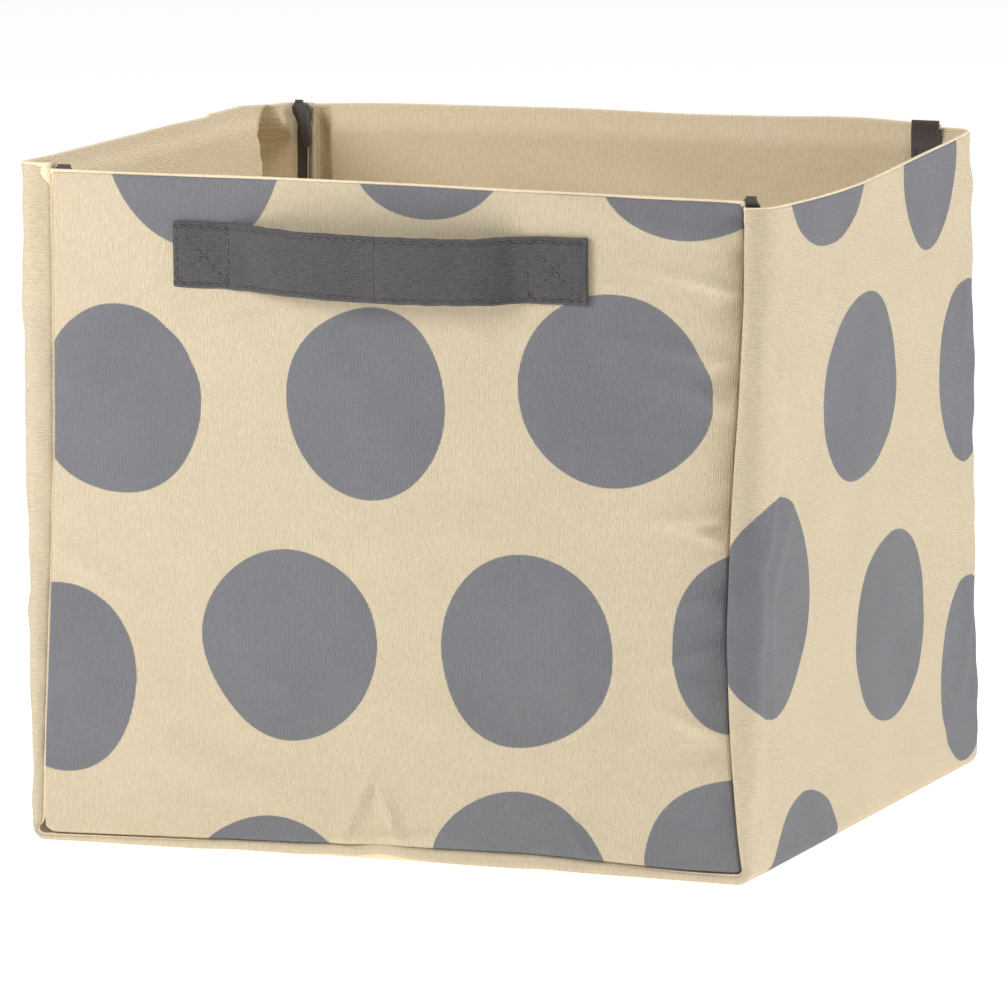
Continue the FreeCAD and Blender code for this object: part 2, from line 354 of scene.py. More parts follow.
def seam_hollow(side, x, z, from_right):
    """How far a panel's cloth draws inwards beside a seam: at the front's right seam it is pulled
    in by the stitches, and at the back's left seam it hangs limp and outwards."""
    if side < 0:
        depth = curve([(0, 0.8), (50, 2.4), (110, 3.4), (200, 5.2), (262, 5.8), (290, 3.6)], 10)(z)
        pull = 1 + 0.42 * unrest(0 * x, z, 15, 35) * np.exp(-(from_right / 9) ** 2)
        return depth * pull * np.exp(-(from_right / 7.0) ** 1.5) * step_up(RIM - z, 0.8, 8)
    beside = step_up(x, -151.5, -149.0) * step_up(-x, 142.5, 147.0)
    return -8.5 * beside * step_up(z, 120, 262) * step_up(RIM - z, 1.0, 12.0)


def panel_cloth(side, name, node, dots, count):
    columns = edge_shares(count, 0.012, (0.0, 0.08, 0.2, 0.4, 0.7))
    rows = np.concatenate([[0.0, 0.0008, 0.002, 0.004, 0.007],
                           np.linspace(0.012, 0.990, count - 10), [0.9935, 0.9962]])
    x, y, z = panel_points(side, columns, rows, 0.0)
    in_x = np.minimum(1 - columns, 1 + columns)[None, :] * 154
    in_z = (rows * RIM)[:, None]
    dive = 3.0 * np.exp(-(in_x / 0.75) ** 2) + 3.0 * np.exp(-(in_z / 0.75) ** 2)
    dive = dive + seam_hollow(side, x, z, (1 - columns)[None, :] * 154)
    top = 0.7 * np.exp(-((rows[-1] - rows)[:, None] * RIM / 0.7) ** 2)
    puff = 0.9 * (1 - np.exp(-in_x / 7.0)) * (1 - np.exp(-in_z / 9.0))
    relief = 0.35 * unrest(x, z, 55, 5 + side) + 0.10 * unrest(x, z, 17, 9 + side)
    if side < 0:
        relief = relief + 1.5 * folds(x, z, FRONT_FOLDS)
        near = np.exp(-in_x / 8.0)
        relief = relief + 0.55 * near * unrest(x * 0.4, z, 16, 31)
        relief = relief + 0.35 * np.exp(-in_z / 9.0) * unrest(x, z * 0.4, 20, 33)
        hold = step_up(x, STRAP_LEFT - 9, STRAP_LEFT - 1) * step_up(-x, -LEFT_SEWN - 9, -LEFT_SEWN)
        hold = hold + (step_up(x, RIGHT_SEWN - 9, RIGHT_SEWN)
                       * step_up(-x, -STRAP_RIGHT - 9, -STRAP_RIGHT - 1))
        beside = step_up(z, STRAP_FOOT - 12, STRAP_FOOT - 1)
        beside = beside * step_up(-z, -STRAP_TOP - 12, -STRAP_TOP)
        relief = relief * (1 - 0.95 * hold * beside)
    out = puff + np.clip(relief, -0.5, None) * np.clip(in_x / 5, 0, 1) * np.clip(in_z / 4, 0, 1)
    y = y + side * (out - dive - top)
    cloth_at = stack(x, z)
    points = settle(stack(x, y, z), PANEL_RISE[side](x))
    if side < 0:
        points[..., 2] += FOOT_LIFT(x) * np.exp(-(z / 12) ** 2) * 0.3
    piece = make_piece(name, points, cloth_at, print_depth(x, z, dots), CLOTH, flip=side > 0)
    return finish_piece(piece, PRINTED, "printed_cloth", "bin", node)


def rim_profile(tucked):
    """The lining from just under the rim, over it and down outside: (depth, height from the rim).
    The last points are tucked under the outer cloth."""
    half = RIM_WALL / 2
    turn = [(half - half * math.cos(a), -half + half * math.sin(a))
            for a in np.linspace(math.pi, 0, 9)]
    if tucked:
        return turn[:-1] + [(0.32, -half + 0.1), (0.8, -half - 0.3), (0.9, -half - 1.0)]
    return turn + [(0.25, -half - 0.2), (0.7, -half - 0.6), (0.8, -half - 1.4)]


def panel_lining(side, name, node, count):
    columns = np.concatenate([np.linspace(-1, -0.9, 14), np.linspace(-0.9, 0.95, count)[1:],
                              np.linspace(0.95, 1, 6)[1:]])
    wall_rows = np.linspace(0.0, 0.972, count)
    x, y, z = panel_points(side, columns, wall_rows, WALL)
    thin = (WALL - RIM_WALL) * step_up(z, RIM - 11, RIM - 4)
    slack = 0.45 * unrest(x, z, 48, 41 + side) + 0.8 * folds(x, z, [
        (-60, 230, 14, 46, 8, 1.0), (40, 246, -10, 60, 7, 0.8), (110, 235, 30, 30, 6, 1.2)])
    slack = np.clip(slack, 0, None) * step_up(RIM - z, 4, 16)
    hollow = seam_hollow(side, x, z, (1 - columns)[None, :] * 154)
    y = y + side * thin - side * slack - side * hollow * (0.85 if side < 0 else 1.0)
    rolled = []
    for depth, up in rim_profile(False):
        a, b, c = panel_points(side, columns, [1.0], depth)
        rolled.append(stack(a, b, c + up))
    square = np.concatenate([stack(x, y, z)] + rolled)
    rise = PANEL_RISE[side](square[..., 0])
    cloth_at = stack(square[..., 0], square[..., 2])
    cloth_at[-len(rolled):, :, 1] = RIM - 6 + 1.1 * np.arange(len(rolled))[:, None]
    piece = make_piece(name, settle(square, rise), cloth_at, None, LINING_CLOTH, flip=side < 0)
    return finish_piece(piece, LINING, "lining_cloth", "bin", node)


def board(name, node, square, rise, flip):
    points = settle(square, rise)
    cloth_at = stack(square[..., 0] + square[..., 1], square[..., 2])
    piece = make_piece(name, points, cloth_at, None, BOARD_IN - BOARD_OUT, flip=flip, smooth=False)
    return finish_piece(piece, BOARD, "stiffening_board", "bin", node)


def panel_board(side, name, node):
    x = np.linspace(-142, 141, 40)[None, :] * np.ones((36, 1))
    z = np.linspace(11, RIM - 13, 36)[:, None] * np.ones((1, 40))
    square = stack(x, np.full_like(x, side * (HALF_Y - BOARD_OUT)), z)
    return board(name, node, square, PANEL_RISE[side](x), side > 0)


def board_end(side, z):
    """How far back a side board reaches. The left one has slipped and stands a little crooked."""
    return np.where(side > 0, 117.0, np.clip(96.0 + 0.27 * (RIM - z), None, 114.0))


def side_board(side, name, node):
    z = np.linspace(11, RIM - 13, 36)[:, None] * np.ones((1, 36))
    y = -117 + (board_end(side, z) + 117) * np.linspace(0, 1, 36)[None, :]
    square = stack(np.full_like(y, side * (HALF_X - BOARD_OUT)), y, z)
    return board(name, node, square, SIDE_RISE[side](y), side < 0)


# ---------------------------------------------------------------- side and base cloth

# Corner radii of the side cloth, from the foot up
CORNER = {
    (-1, -1): curve([(0, 3.2), (40, 4.5), (290, 6.0)], 8),
    (-1, 1): curve([(0, 3.4), (30, 5.0), (70, 8.5), (180, 10.5), (290, 9.8)], 8),
    (1, -1): curve([(0, 3.2), (60, 6.0), (200, 8.0), (262, 15.0), (290, 17.0)], 8),
    (1, 1): curve([(0, 3.2), (60, 6.0), (240, 8.0), (290, 11.0)], 8),
}
RIGHT_FOLDS = [
    (-132, 150, 68, 22, 4, 1.6), (-120, 135, 60, 30, 5, 1.1), (-138, 120, 82, 24, 3.5, 1.4),
    (-126, 96, 100, 26, 4.5, 1), (-134, 62, 96, 34, 4, 1), (-125, 205, 84, 34, 5, 0.8),
    (-128, 258, 100, 20, 5, 0.9), (-110, 240, 70, 34, 7, 0.8), (128, 60, 80, 30, 5, 1.2),
    (122, 130, 96, 34, 5, 1), (126, 205, 84, 34, 5, 0.9), (118, 262, 60, 18, 5, 0.8),
    (40, 250, 8, 60, 10, 0.6), (-20, 60, -12, 60, 10, 0.6), (60, 150, 20, 50, 12, 0.5),
    (-60, 20, 6, 44, 5, 0.7), (60, 18, -8, 50, 5, 0.6), (100, 24, 40, 20, 5, 0.8),
]


def rail(step):
    """The side cloth's way down the left wall, under the base and up the right wall. Each station
    has place x and z, outward x and z, the wall's side and the place along the cloth."""
    stations = []
    top = RIM - SIDE_ROLL
    count = int((top - 1.5 - FOOT_RADIUS) / step)
    heights = [top, top - 0.2, top - 0.45, top - 0.8]
    for z in heights + list(np.linspace(top - 1.5, FOOT_RADIUS, count, endpoint=False)):
        stations.append((-HALF_X, z, -1, 0, -1))
    for angle in np.linspace(0, math.pi / 2, 6, endpoint=False):
        stations.append((-HALF_X + FOOT_RADIUS * (1 - math.cos(angle)),
                         FOOT_RADIUS * (1 - math.sin(angle)),
                         -math.cos(angle), -math.sin(angle), -1))
    half = HALF_X - FOOT_RADIUS
    for x in np.linspace(-half, half, int(2 * half / step)):
        stations.append((x, 0, 0, -1, 0))
    left = [s for s in stations if s[4] < 0]
    for x, z, nx, nz, _ in reversed(left):
        stations.append((-x, z, -nx, nz, 1))
    return np.array(stations, float)


def foot_share(stations):
    """1 on the base and 0 up the walls."""
    return step_up(-stations[:, 1], -FOOT_RADIUS - 4, -1.0)


def section(stations, depth, wall_count, seam_rows):
    """Across the side cloth at each station, from the front seam to the back one: how far out
    from the rail and how far to the back, at some depth, and how far from the seam lines."""
    z = stations[:, 1]
    right = stations[:, 4] > 0
    base = foot_share(stations)
    across = []
    for end in (-1, 1):
        wide = HALF_X - np.where(right, SEAM[end, 1](z), SEAM[end, -1](z))
        lip = FOOT_SEAM(stations[:, 0]) if end < 0 else np.full_like(z, 5.0)
        wide = wide * (1 - base) + lip * base
        radius = np.where(right, CORNER[end, 1](z), CORNER[end, -1](z))
        radius = radius * (1 - base) + 2.8 * base
        across.append((wide, np.minimum(radius, wide - 0.8)))
    lines = []
    for (wide, radius), sign in zip(across, (-1, 1)):
        inner = np.maximum(radius - depth, 0.8)
        rows = []
        for share in seam_rows:
            flat = np.maximum(wide - depth - inner, 0.2)
            rows.append((-wide + share * flat, np.full_like(wide, sign * (HALF_Y - depth)),
                         share * flat))
        for angle in np.linspace(0, math.pi / 2, 8):
            rows.append((-depth - inner + inner * math.sin(angle),
                         sign * (HALF_Y - depth - inner + inner * math.cos(angle)),
                         flat + inner * angle))
        lines.append((rows, HALF_Y - depth - inner))
    front, back = lines
    middle = []
    for share in np.linspace(0, 1, wall_count + 2)[1:-1]:
        place = -front[1] + (front[1] + back[1]) * share
        middle.append((np.full_like(z, -depth), place, np.full_like(z, 50.0)))
    rows = front[0] + middle + back[0][::-1]
    out, to_back, from_seam = (np.stack([row[i] for row in rows], axis=1) for i in range(3))
    return out, to_back, from_seam


def strip_points(stations, out, to_back):
    x = stations[:, 0:1] + stations[:, 2:3] * out
    z = stations[:, 1:2] + stations[:, 3:4] * out
    return stack(x, to_back, z)


def strip_rise(stations, to_back):
    right = (stations[:, 0:1] / HALF_X + 1) / 2
    return LEFT_RISE(to_back) * (1 - right) + RIGHT_RISE(to_back) * right


def cloth_place(stations, out, to_back):
    """Where each point is on the flat side cloth: across from front to back, and up from the
    foot of the right wall."""
    walked = np.hypot(np.diff(stations[:, 0]), np.diff(stations[:, 1]))
    walked = np.concatenate([[0], np.cumsum(walked)])
    turn = np.argmax(stations[:, 4] > 0)
    up = (walked - walked[turn])[:, None] * np.ones_like(out)
    stretch = np.hypot(np.diff(out, axis=1), np.diff(to_back, axis=1))
    across = np.concatenate([np.zeros((len(out), 1)), np.cumsum(stretch, axis=1)], axis=1)
    middle = across.shape[1] // 2
    across = across - across[:, middle:middle + 1] + to_back[:, middle:middle + 1]
    return stack(across, up)


def corner_pocket(to_back, up, inset):
    """How far the limp cloth between the left board and the back seam hangs outwards. At the rim
    it is only a narrow fold, and it opens into a hollow below. The lining lies inset further in."""
    below = RIM - up
    half = 3.5 + 1.05 * np.clip(below, 0, None) - inset
    first = np.maximum(116.5 - half, board_end(-1, up) + 1.0 + inset)
    last = np.minimum(117.5 + half, 140.5 - 1.4 * inset)
    shape = step_up(to_back, first - 1.5, first + 2.0) * step_up(-to_back, -last - 1.5, -last + 2.5)
    depth = 3.0 + 13.0 * step_up(below, 0, 13)
    return depth * shape * step_up(up, 60, 235) * step_up(below, -2.0, 0.0)


def side_and_base_cloth(step, wall_count):
    stations = rail(step)
    seam_rows = (0.0, 0.03, 0.08, 0.18, 0.34, 0.55, 0.78)
    out, to_back, from_seam = section(stations, 0.0, wall_count, seam_rows)
    cloth_at = cloth_place(stations, out, to_back)
    toward = np.sign(to_back)
    dive = 3.2 * np.exp(-(from_seam / 0.8) ** 2)
    gentle = np.where(stations[:, 4:5] > 0, -0.5, 3.2) * (1 - foot_share(stations))[:, None]
    dive = dive + gentle * np.exp(-(from_seam / 6.5) ** 1.5)
    dive = dive * (1 - 0.35 * foot_share(stations))[:, None]
    on_wall = step_up(-out, 3.0, 0.5)
    side = stations[:, 4:5]
    up = stations[:, 1:2]
    along = cloth_at[..., 1]
    relief = 0.45 * unrest(to_back, along, 60, 51) + 0.12 * unrest(to_back, along, 18, 53)
    right = (side > 0) * folds(to_back, up, RIGHT_FOLDS)
    left = (side < 0) * folds(-to_back, up, RIGHT_FOLDS)
    soft = step_up(np.abs(to_back), 112, 132)
    relief = relief + right + left + 0.7 * soft * unrest(to_back * 0.7, along, 21, 57)
    wall = np.abs(side) * step_up(up, 4, 14)
    square = strip_points(stations, out, to_back)
    swell = np.clip(relief, -0.5, None) * on_wall * wall
    pocket = (side < 0) * corner_pocket(to_back, up, 0.0)
    swell = swell + pocket * step_up(-out, 9, 4)
    square[..., 0] += stations[:, 2:3] * swell
    nip = (1 - on_wall) * 0.5 * unrest(from_seam, along, 19, 59) * wall
    square[..., 1] += toward * (-dive + np.clip(nip, -0.7, 0.7) * np.clip(from_seam / 4, 0, 1))
    tuck = 0.8 * np.exp(-((RIM - SIDE_ROLL - up) / 0.4) ** 2) * np.abs(side)
    square = square - tuck[..., None] * np.stack(
        [stations[:, 2:3] * on_wall, toward * (1 - on_wall), 0 * on_wall], axis=-1)
    points = settle(square, strip_rise(stations, to_back))
    base = (1 - np.abs(side)) * np.exp(-((to_back + HALF_Y) / 14) ** 2)
    points[..., 2] += base * FOOT_LIFT(square[..., 0])
    points[..., 2] = np.maximum(points[..., 2], 0.05)
    printed = print_depth(cloth_at[..., 0], along, STRIP_DOTS)
    piece = make_piece("side_and_base_cloth", points, cloth_at[..., ::-1], printed, CLOTH)
    return finish_piece(piece, PRINTED, "printed_cloth", "bin",
                        "left_side_cover", "base_cover", "right_side_cover")


def side_and_base_lining(step, wall_count):
    stations = rail(step)
    turned = []
    for side in (-1, 1):
        for depth, rise in rim_profile(True):
            turned.append((side * HALF_X, RIM + rise, side, 0, side, depth))
    ends = np.array(turned)
    half = len(ends) // 2
    wall = np.concatenate([stations, np.full((len(stations), 1), np.nan)], axis=1)
    wall = wall[(wall[:, 1] < RIM - 2.4)]
    full = np.concatenate([ends[:half][::-1], wall, ends[half:]])
    way, given = full[:, :5], full[:, 5]
    seam_rows = (0.0, 0.3, 0.65)
    pieces = []
    for i in range(len(way)):
        z = way[i, 1]
        if np.isnan(given[i]):
            base = foot_share(way[i:i + 1])[0]
            depth = WALL - (WALL - RIM_WALL) * step_up(z, RIM - 11, RIM - 4)
            depth = depth * (1 - base) + 1.5 * base
        else:
            depth = given[i]
        pieces.append((depth, *section(way[i:i + 1], depth, wall_count, seam_rows)))
    out = np.concatenate([p[1] for p in pieces])
    to_back = np.concatenate([p[2] for p in pieces])
    rolled = ~np.isnan(given)[:, None]
    side, up = way[:, 4:5], way[:, 1:2]
    soft = step_up(np.abs(to_back), 112, 126) * step_up(-np.abs(to_back), -143, -136)
    pocket = (side < 0) * corner_pocket(to_back, up, 3.0)
    slump = (0.6 * unrest(to_back, up, 50, 71) - 1.2 * soft) * step_up(RIM - up, 4, 20) * ~rolled
    slump = slump * np.abs(side) * step_up(-out, 8, 4.5)
    square = strip_points(way, out, to_back)
    square[..., 0] -= way[:, 2:3] * (slump - pocket * step_up(-out, 14, 8))
    points = settle(square, strip_rise(way, to_back))
    cloth_at = cloth_place(way, out, to_back)
    piece = make_piece("side_and_base_lining", points, cloth_at[..., ::-1], None, LINING_CLOTH,
                       flip=True)
    return finish_piece(piece, LINING, "lining_cloth", "bin",
                        "left_lining", "base_lining", "right_lining")


# ---------------------------------------------------------------- tape and thread

def ribbon(path, across, normal, width, thick):
    """A folded band along a path, as a wrapped tube of points: across and normal are its unit
    directions at each point of the path, which runs along one edge, and width and thick its size
    there."""
    half = thick / 2
    ring = [(1, math.cos(a), math.sin(a)) for a in np.linspace(-math.pi / 2, math.pi / 2, 5)]
    ring += [(-1, math.cos(a), math.sin(a)) for a in np.linspace(math.pi / 2, 3 * math.pi / 2, 5)]
    steps = []
    for end, turn_x, turn_y in ring:
        out = width / 2 + end * (width / 2 - half) + half * turn_x
        steps.append(path + across * out[:, None] + normal * (half * turn_y)[:, None])
    return np.stack(steps, axis=1)


def unit(vectors):
    return vectors / np.linalg.norm(vectors, axis=-1, keepdims=True)


def stitches(name, path, normal, length, width, height):
    """Short raised stitches along a path of points, standing up along its normals."""
    stretch = np.linalg.norm(np.diff(path, axis=0), axis=1)
    walked = np.concatenate([[0], np.cumsum(stretch)])
    count = max(1, int(walked[-1] / STITCH_PITCH))
    centres = (np.arange(count) + 0.5) * walked[-1] / count
    rounds = 6
    rings = [(-0.5, 0.25), (-0.36, 0.85), (0.0, 1.0), (0.36, 0.85), (0.5, 0.25)]
    points, faces = [], []
    def on(line, place):
        return np.array([np.interp(place, walked, line[:, i]) for i in range(3)])

    for centre in centres:
        at = on(path, centre)
        up = unit(on(normal, centre))
        along = unit(on(path, centre + 0.6) - on(path, centre - 0.6))
        beside = np.cross(up, along)
        start = len(points)
        for place, size in rings:
            middle = at + along * place * length + up * height * (0.1 + 0.5 * size)
            for k in range(rounds):
                angle = math.tau * k / rounds
                points.append(middle + beside * math.cos(angle) * width / 2 * size
                              + up * math.sin(angle) * height / 2 * size)
        for r in range(len(rings) - 1):
            for k in range(rounds):
                a, b = start + r * rounds + k, start + r * rounds + (k + 1) % rounds
                faces.append((a, b, b + rounds, a + rounds))
        faces.append(tuple(start + k for k in reversed(range(rounds))))
        last = start + (len(rings) - 1) * rounds
        faces.append(tuple(last + k for k in range(rounds)))
    mesh = bpy.data.meshes.new(name)
    mesh.from_pydata((np.array(points) * MM).tolist(), [], faces)
    for polygon in mesh.polygons:
        polygon.use_smooth = True
    return link_piece(name, mesh)


def join_pieces(name, pieces):
    """One piece from several."""
    for other in bpy.context.selected_objects:
        other.select_set(False)
    for piece in pieces:
        piece.select_set(True)
    bpy.context.view_layer.objects.active = pieces[0]
    bpy.ops.object.join()
    pieces[0].name = name
    pieces[0].data.name = name
    return pieces[0]


TAPE_WIDTH, TAPE_THICK = 11.0, 1.5
STITCH_PITCH = 3.9


def binding_path(side):
    """Along a bound seam inside the bin: down the left, along the foot and up the right, with how
    far across and up each point is."""
    foot = 6.5
    turn = 5.0
    top = np.array([1.2, 0.9, 0.4, -0.3, -1.2, -2.4, -4.0]) + RIM + (0.2 if side < 0 else 0.6)
    down = np.concatenate([top, np.arange(RIM - 6.5, foot + turn, -3.0)])
    left, right = (stack(sign * SEAM[side, sign](down), down) for sign in (-1, 1))
    left_x, right_x = (sign * SEAM[side, sign](foot + turn) for sign in (-1, 1))
    bend = np.linspace(0, math.pi / 2, 6)[1:-1]
    bend_out, bend_up = turn * (1 - np.cos(bend)), foot + turn * (1 - np.sin(bend))
    left_bend = stack(left_x + bend_out, bend_up)
    right_bend = stack(right_x - bend_out, bend_up)
    flat_x = np.linspace(left_x + turn, right_x - turn, 90)
    flat = stack(flat_x, np.full_like(flat_x, foot))
    return np.concatenate([left, left_bend, flat, right_bend[::-1], right[::-1]])


def binding(side, tag):
    """Tape folded over the seam allowances inside the bin, against the lining, with the row of
    stitches that holds it. It follows the lining where the front right seam is pulled in."""
    flat = binding_path(side)
    x, z = flat[:, 0], flat[:, 1]
    ahead = unit(np.gradient(flat, axis=0))
    inward = stack(-ahead[:, 1], ahead[:, 0])
    on_left, on_right = x < -100, x > 100
    if side < 0:
        lean = 2.75 * step_up(z, 225, 268) * on_right
    else:
        lean = 3.0 * step_up(z, 40, 190) * on_left + 0.22 * step_up(z, 180, 285) * on_right
    lean = lean + 0.10 + 0.05 * unrest(x, z, 40, 80 + side)
    width = np.full(len(flat), TAPE_WIDTH)
    thick = np.full(len(flat), TAPE_THICK)
    end = step_up(z, RIM - 3.5, RIM + 0.9)
    thick = thick + 0.9 * step_up(z, RIM - 6, RIM - 4)
    if side > 0:
        narrow = 4.0 * (1 - step_up(z, RIM - 75, RIM - 15)) + 7.0 * end ** 2
        width = width - narrow * on_left
        width = width + 1.2 * on_right * step_up(z, 200, 250)
    else:
        width = width - 5.0 * end ** 2 - 1.6 * on_right * step_up(z, 225, 268)
        x = x - 4.2 * on_right * step_up(z, 225, 268)
    lift = 0.9 * step_up(z, RIM - 14, RIM - 4) - 0.8 * end
    y = side * (HALF_Y - WALL - TAPE_THICK / 2 - 0.25) + side * lift
    if side < 0:
        y = y + seam_hollow(side, x, z, 0 * x) * on_right
    path = stack(x, y, z)
    across = stack(inward[:, 0] * np.cos(lean), -side * np.sin(lean), inward[:, 1] * np.cos(lean))
    path = path + across * ((TAPE_WIDTH - width) * 0.5 * end - 1.2 * on_left * (side < 0))[:, None]
    along = stack(ahead[:, 0], np.zeros(len(flat)), ahead[:, 1])
    normal = unit(np.cross(along, across))
    rise_at = PANEL_RISE[side]
    tube = ribbon(path, across, normal, width, thick)
    closed = cap_rows(settle(tube, rise_at(tube[..., 0])))
    tape = make_piece(tag + "_binding_tape", closed, tape_cloth(closed), wrap=True, capped=True)
    if side > 0:
        tape = join_pieces(tag + "_binding_tape", [tape, folded_end()])
    finish_piece(tape, TAPE, "binding_tape", "bin", tag + "_seam_binding")
    facing = np.where((normal[:, 1] * side > 0)[:, None], -normal, normal)
    sewn = path + across * (width - 2.2)[:, None] + facing * (thick / 2)[:, None]
    keep = z < RIM - 8
    run = settle(sewn, rise_at(sewn[:, 0]))[keep]
    thread = stitches(tag + "_binding_thread", run, facing[keep], 2.9, 0.55, 0.45)
    finish_piece(thread, THREAD, "thread", "bin", tag + "_seam_stitching")


def folded_end():
    """The end of the back tape, folded over and hanging down slantwise at the left seam."""
    share = np.linspace(0, 1, 16)
    near = HALF_Y - WALL - TAPE_THICK - 2.2
    x = -158.2 + 4.0 * share
    y = near - 0.9 * np.sin(math.pi * share) - 0.4 * share
    z = RIM + 0.3 - 19.5 * share
    path = stack(x, y, z)
    across = unit(np.array([[1.0, -0.25, 0.12]])) * np.ones((16, 1))
    normal = unit(np.cross(np.gradient(path, axis=0), across))
    width = 5.6 - 1.2 * share - 1.2 * step_up(share, 0.85, 1.0)
    tube = ribbon(path, across, normal, width, np.full(16, 1.5))
    closed = cap_rows(settle(tube, BACK_RISE(tube[..., 0])))
    return make_piece("folded_end", closed, tape_cloth(closed), wrap=True, capped=True)


def tape_cloth(tube):
    """Places on the flat tape for a wrapped tube of points."""
    middle = tube.mean(axis=1)
    walked = np.concatenate([[0], np.cumsum(np.linalg.norm(np.diff(middle, axis=0), axis=1))])
    round_it = np.linalg.norm(np.diff(tube, axis=1), axis=2)
    round_it = np.concatenate([np.zeros((len(tube), 1)), np.cumsum(round_it, axis=1)], axis=1)
    return stack(round_it, walked[:, None] * np.ones_like(round_it))


# ---------------------------------------------------------------- strap handle

STRAP_THICK = 1.9
STRAP_HIGH = STRAP_TOP - STRAP_FOOT
STRAP_STAND = 0.95         # how far the front cloth stands out behind the strap
BOX = 24.0                 # the crossed square of stitches
MARGIN = 2.5
EDGE_ROW = 2.0             # from the strap's edges to the rows of stitches along them
THREAD_AT = STRAP_THICK - 0.25
SPAN = [corner.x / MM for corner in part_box("handle_span")]
# How far the strap stands off the front, and how far it hangs, at places across
BOW = curve([(-100, 0.35), (LEFT_SEWN - 2, 0.35), (-60, 2.0), (-47, 7.0), (-34, 11.0),
             (-14, 13.2), (8, 13.6), (30, 12.8), (46, 10.6), (54, 7.0), (60, 1.8),
             (RIGHT_SEWN, 0.45), (100, 0.35)], 2.2)
SAG = curve([(-100, 0.0), (-66, 0.0), (-30, -1.0), (10, -1.5), (44, -1.3), (64, -0.3),
             (100, 0.0)], 6)


def strap_slope(x):
    return (BOW(x + 0.3) - BOW(x - 0.3)) / 0.6


def strap_point(x, up, out):
    """A point on the strap: across the front, up from its lower edge, and out from its back."""
    x, up, out = np.broadcast_arrays(np.asarray(x, float), up, out)
    slope = strap_slope(x)
    long = np.sqrt(1 + slope ** 2)
    y = -HALF_Y - STRAP_STAND - BOW(x) - out / long
    return stack(x - out * slope / long, y, STRAP_FOOT + up + SAG(x))


def strap_out(x):
    """The strap's outward direction at places across."""
    slope = strap_slope(x)
    return unit(stack(-slope, -np.ones_like(slope), np.zeros_like(slope)))


def near_edges(up, inset, width):
    """1 at a distance from the strap's lower and upper edge, and 0 away from there."""
    return sum(np.exp(-((place - inset) / width) ** 2) for place in (up, STRAP_HIGH - up))


def strap_half(name, first, last, seed):
    """Half of the strap as a tube: round its face from the lower edge up, then down its back."""
    x = np.linspace(first, last, int(last - first))
    edge = np.array([0.25, 0.8, 1.3, 1.7, 2.0, 2.3, 2.8, 3.6])
    face = np.concatenate([edge, np.linspace(5, STRAP_HIGH - 5, 13), STRAP_HIGH - edge[::-1]])
    under = np.array([0.0, 0.25, 1.2])
    behind = np.concatenate([STRAP_HIGH - under, np.linspace(STRAP_HIGH - 4, 4, 6), under[::-1]])
    ups = np.concatenate([face, behind])
    press = np.concatenate([np.ones(len(face)), np.zeros(len(behind))])
    roll = STRAP_THICK / 2 * near_edges(ups, 0.0, 0.7) * 0.8
    outs = np.where(press > 0, STRAP_THICK - 0.42 * near_edges(ups, EDGE_ROW, 0.45) - roll, roll)
    grid_x = x[:, None] * np.ones(len(ups))
    up = ups[None, :] + 0.0 * grid_x
    out = outs[None, :] + 0.0 * grid_x
    for start in (STRAP_LEFT + MARGIN, STRAP_RIGHT - MARGIN - BOX):
        u, v = grid_x - start, up - (STRAP_HIGH - BOX) / 2
        inside = (u > -0.6) & (u < BOX + 0.6)
        lines = [np.abs(u), np.abs(u - BOX), np.abs(v), np.abs(v - BOX),
                 np.abs(u - v) / math.sqrt(2), np.abs(u + v - BOX) / math.sqrt(2)]
        near = np.minimum.reduce(lines)
        out = out - press * inside * 0.30 * np.exp(-(near / 0.8) ** 2)
    ripple = 0.10 * unrest(grid_x, up, 5.5, seed) + 0.16 * unrest(grid_x, up * 0.5, 16, seed + 1)
    out = out + press * ripple * step_up(up, 0.5, 3) * step_up(STRAP_HIGH - up, 0.5, 3)
    up = up + 0.22 * unrest(grid_x, 0 * up, 14, seed + 2) * np.sign(up - STRAP_HIGH / 2)
    closed = cap_rows(strap_point(grid_x, up, out))
    cloth_at = tape_cloth(closed)
    cloth_at[..., 1] = closed[..., 0]
    return make_piece(name, closed, cloth_at, wrap=True, flip=True, capped=True)


def strap_runs(first, last):
    """The two edge rows of stitches on the free strap between two places across."""
    x = np.linspace(first, last, 80)
    return [(strap_point(x, up, THREAD_AT), strap_out(x))
            for up in (EDGE_ROW, STRAP_HIGH - EDGE_ROW)]


def box_runs(start):
    """The crossed square of stitches on a sewn end."""
    low, high = (STRAP_HIGH - BOX) / 2, (STRAP_HIGH + BOX) / 2
    corners = [(start, low), (start + BOX, low), (start + BOX, high), (start, high)]
    pairs = [(corners[i], corners[(i + 1) % 4]) for i in range(4)]
    pairs += [(corners[0], corners[2]), (corners[1], corners[3])]
    runs = []
    for (x0, u0), (x1, u1) in pairs:
        x = np.linspace(x0, x1, 20)
        runs.append((strap_point(x, np.linspace(u0, u1, 20), THREAD_AT), strap_out(x)))
    return runs


def thread_piece(name, runs):
    pieces = [stitches(name + "_part", path, out, 2.7, 0.6, 0.5) for path, out in runs]
    return join_pieces(name, pieces)


